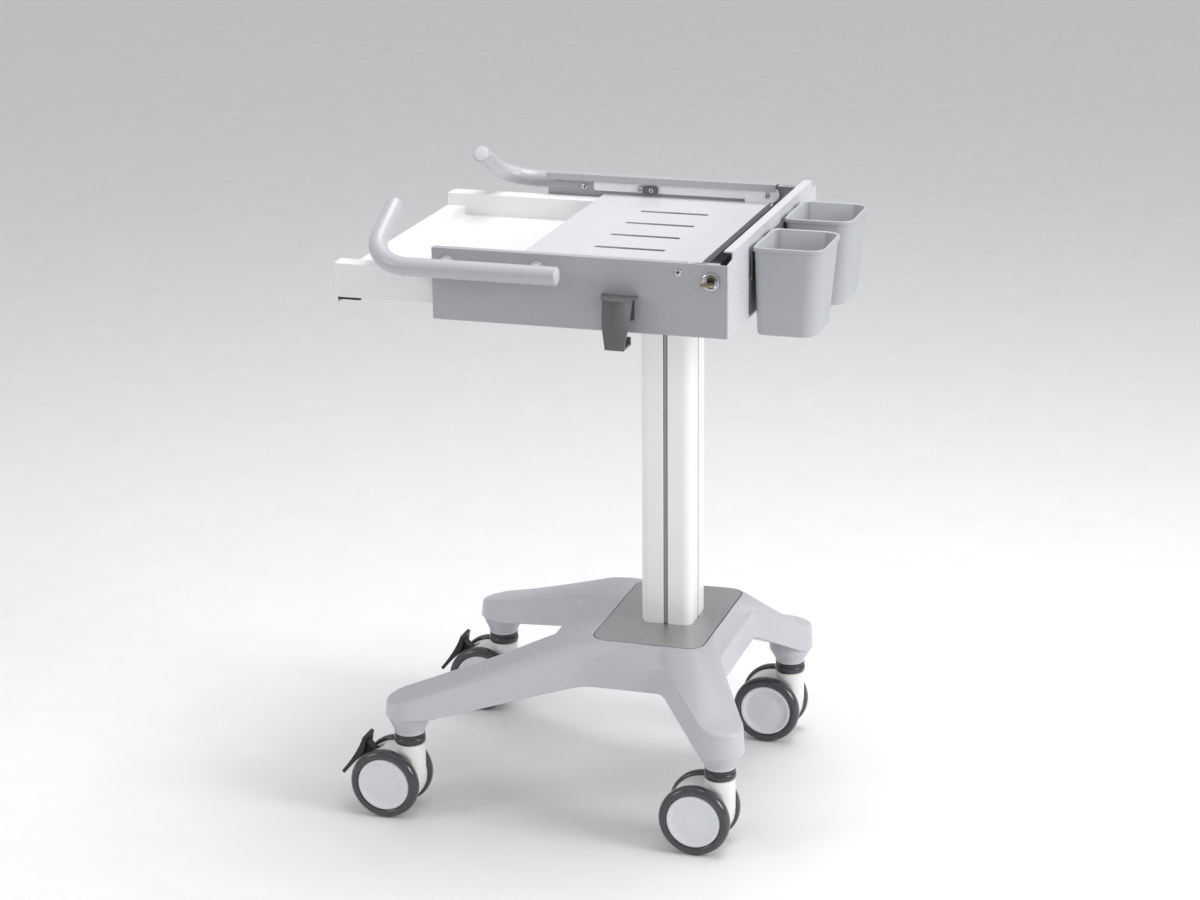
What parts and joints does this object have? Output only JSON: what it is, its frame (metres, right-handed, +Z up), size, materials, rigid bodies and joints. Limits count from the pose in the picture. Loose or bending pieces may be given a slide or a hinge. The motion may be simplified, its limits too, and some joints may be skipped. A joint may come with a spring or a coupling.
{
  "type": "laptop workstation cart",
  "caption": "Height-fixed ward laptop cart on swivel casters, with a slotted column, lockable head, sliding keyboard drawer, push handles, cord hook and rear storage bins.",
  "frame": {"origin": "on the floor under the middle of the whole cart", "axes": "+Z up, +Y towards the storage bins at the rear, +X the right of a user standing at the drawer"},
  "size_m": [0.5974, 0.6786, 0.8913],
  "materials": {
    "cover_plastic": "fine-textured moulded grey plastic",
    "frame_steel": "bright zinc-plated steel",
    "brushed_plate": "brushed, satin",
    "caster_white": "smooth moulded plastic",
    "hub_plastic": "smooth moulded plastic",
    "tyre_rubber": "smooth polyurethane tread",
    "black_plastic": "moulded, satin",
    "column_white": "white powder coat on an extrusion",
    "strip_grey": "extruded grey plastic",
    "white_coat": "white powder coat",
    "grey_coat": "silver-grey powder coat",
    "handle_coat": "silver-grey powder coat on tube",
    "pale_coat": "pale grey powder coat",
    "bin_plastic": "moulded grey plastic, satin",
    "dark_coat": "dark grey powder coat",
    "chrome": "polished",
    "brass": "worn bright"
  },
  "bodies": {
    "cart": {"base_frame": "frame_steel", "base_cover": "cover_plastic", "base_plate": "brushed_plate", "front_left_caster_stem": "black_plastic", "front_right_caster_stem": "black_plastic", "rear_left_caster_stem": "black_plastic", "rear_right_caster_stem": "black_plastic", "column": "column_white", "column_strip_left": "strip_grey", "column_strip_right": "strip_grey", "column_head": "frame_steel", "housing_pan": "white_coat", "side_panel_left": "grey_coat", "side_panel_right": "grey_coat", "rear_panel": "pale_coat", "laptop_shelf": "pale_coat", "cable_tray": "black_plastic", "handle_left": "handle_coat", "handle_right": "handle_coat", "slide_outer_left": "frame_steel", "slide_outer_right": "frame_steel", "bin_bracket": "dark_coat", "side_hook": "dark_coat", "lock_body": "chrome"},
    "front_left_swivel": {"front_left_fork": "caster_white", "front_left_axle": "frame_steel"},
    "front_left_outer_wheel": {"front_left_outer_hub": "hub_plastic", "front_left_outer_tyre": "tyre_rubber"},
    "front_left_inner_wheel": {"front_left_inner_hub": "hub_plastic", "front_left_inner_tyre": "tyre_rubber"},
    "front_right_swivel": {"front_right_fork": "caster_white", "front_right_axle": "frame_steel"},
    "front_right_outer_wheel": {"front_right_outer_hub": "hub_plastic", "front_right_outer_tyre": "tyre_rubber"},
    "front_right_inner_wheel": {"front_right_inner_hub": "hub_plastic", "front_right_inner_tyre": "tyre_rubber"},
    "rear_left_swivel": {"rear_left_fork": "caster_white", "rear_left_axle": "frame_steel"},
    "rear_left_outer_wheel": {"rear_left_outer_hub": "hub_plastic", "rear_left_outer_tyre": "tyre_rubber"},
    "rear_left_inner_wheel": {"rear_left_inner_hub": "hub_plastic", "rear_left_inner_tyre": "tyre_rubber"},
    "rear_right_swivel": {"rear_right_fork": "caster_white", "rear_right_axle": "frame_steel"},
    "rear_right_outer_wheel": {"rear_right_outer_hub": "hub_plastic", "rear_right_outer_tyre": "tyre_rubber"},
    "rear_right_inner_wheel": {"rear_right_inner_hub": "hub_plastic", "rear_right_inner_tyre": "tyre_rubber"},
    "front_left_brake": {"front_left_brake_pedal": "black_plastic"},
    "front_right_brake": {"front_right_brake_pedal": "black_plastic"},
    "drawer": {"drawer_tray": "white_coat", "slide_inner_left": "frame_steel", "slide_inner_right": "frame_steel"},
    "slide_members": {"slide_middle_left": "frame_steel", "slide_middle_right": "frame_steel"},
    "lock_cylinder": {"lock_plug": "black_plastic", "lock_cam": "frame_steel", "lock_key": "brass"},
    "bin_left": {"bin_left": "bin_plastic"},
    "bin_right": {"bin_right": "bin_plastic"}
  },
  "joints": [
    {"name": "front_left_caster_swivel", "type": "hinge", "parent": "cart", "child": "front_left_swivel", "pos_m": [-0.207, -0.2383, 0.1], "axis": [0, 0, 1], "continuous": true},
    {"name": "front_left_outer_wheel_spin", "type": "hinge", "parent": "front_left_swivel", "child": "front_left_outer_wheel", "pos_m": [-0.207, -0.2673, 0.0508], "axis": [1, 0, 0], "continuous": true},
    {"name": "front_left_inner_wheel_spin", "type": "hinge", "parent": "front_left_swivel", "child": "front_left_inner_wheel", "pos_m": [-0.207, -0.2673, 0.0508], "axis": [1, 0, 0], "continuous": true},
    {"name": "front_right_caster_swivel", "type": "hinge", "parent": "cart", "child": "front_right_swivel", "pos_m": [0.207, -0.2383, 0.1], "axis": [0, 0, 1], "continuous": true},
    {"name": "front_right_outer_wheel_spin", "type": "hinge", "parent": "front_right_swivel", "child": "front_right_outer_wheel", "pos_m": [0.207, -0.2673, 0.0508], "axis": [1, 0, 0], "continuous": true},
    {"name": "front_right_inner_wheel_spin", "type": "hinge", "parent": "front_right_swivel", "child": "front_right_inner_wheel", "pos_m": [0.207, -0.2673, 0.0508], "axis": [1, 0, 0], "continuous": true},
    {"name": "rear_left_caster_swivel", "type": "hinge", "parent": "cart", "child": "rear_left_swivel", "pos_m": [-0.207, 0.2177, 0.1], "axis": [0, 0, 1], "continuous": true},
    {"name": "rear_left_outer_wheel_spin", "type": "hinge", "parent": "rear_left_swivel", "child": "rear_left_outer_wheel", "pos_m": [-0.207, 0.1887, 0.0508], "axis": [1, 0, 0], "continuous": true},
    {"name": "rear_left_inner_wheel_spin", "type": "hinge", "parent": "rear_left_swivel", "child": "rear_left_inner_wheel", "pos_m": [-0.207, 0.1887, 0.0508], "axis": [1, 0, 0], "continuous": true},
    {"name": "rear_right_caster_swivel", "type": "hinge", "parent": "cart", "child": "rear_right_swivel", "pos_m": [0.207, 0.2177, 0.1], "axis": [0, 0, 1], "continuous": true},
    {"name": "rear_right_outer_wheel_spin", "type": "hinge", "parent": "rear_right_swivel", "child": "rear_right_outer_wheel", "pos_m": [0.207, 0.1887, 0.0508], "axis": [1, 0, 0], "continuous": true},
    {"name": "rear_right_inner_wheel_spin", "type": "hinge", "parent": "rear_right_swivel", "child": "rear_right_inner_wheel", "pos_m": [0.207, 0.1887, 0.0508], "axis": [1, 0, 0], "continuous": true},
    {"name": "front_left_brake_press", "type": "hinge", "parent": "front_left_swivel", "child": "front_left_brake", "pos_m": [-0.207, -0.2933, 0.085], "axis": [1, 0, 0], "range_deg": [0, 14]},
    {"name": "front_right_brake_press", "type": "hinge", "parent": "front_right_swivel", "child": "front_right_brake", "pos_m": [0.207, -0.2933, 0.085], "axis": [1, 0, 0], "range_deg": [0, 14]},
    {"name": "drawer_slide", "type": "slide", "parent": "cart", "child": "drawer", "axis": [0, -1, 0], "range_m": [-0.146, 0.105]},
    {"name": "slide_members_slide", "type": "slide", "parent": "cart", "child": "slide_members", "axis": [0, -1, 0], "range_m": [-0.073, 0.0525]},
    {"name": "lock_turn", "type": "hinge", "parent": "cart", "child": "lock_cylinder", "pos_m": [0.25, 0.2147, 0.821], "axis": [-1, 0, 0], "range_deg": [0, 90]},
    {"name": "bin_left_lift", "type": "slide", "parent": "cart", "child": "bin_left", "axis": [0, 0, 1], "range_m": [0, 0.03]},
    {"name": "bin_right_lift", "type": "slide", "parent": "cart", "child": "bin_right", "axis": [0, 0, 1], "range_m": [0, 0.03]}
  ],
  "couplings": [
    {"joint": "slide_members_slide", "follows": "drawer_slide", "ratio": 0.5}
  ]
}
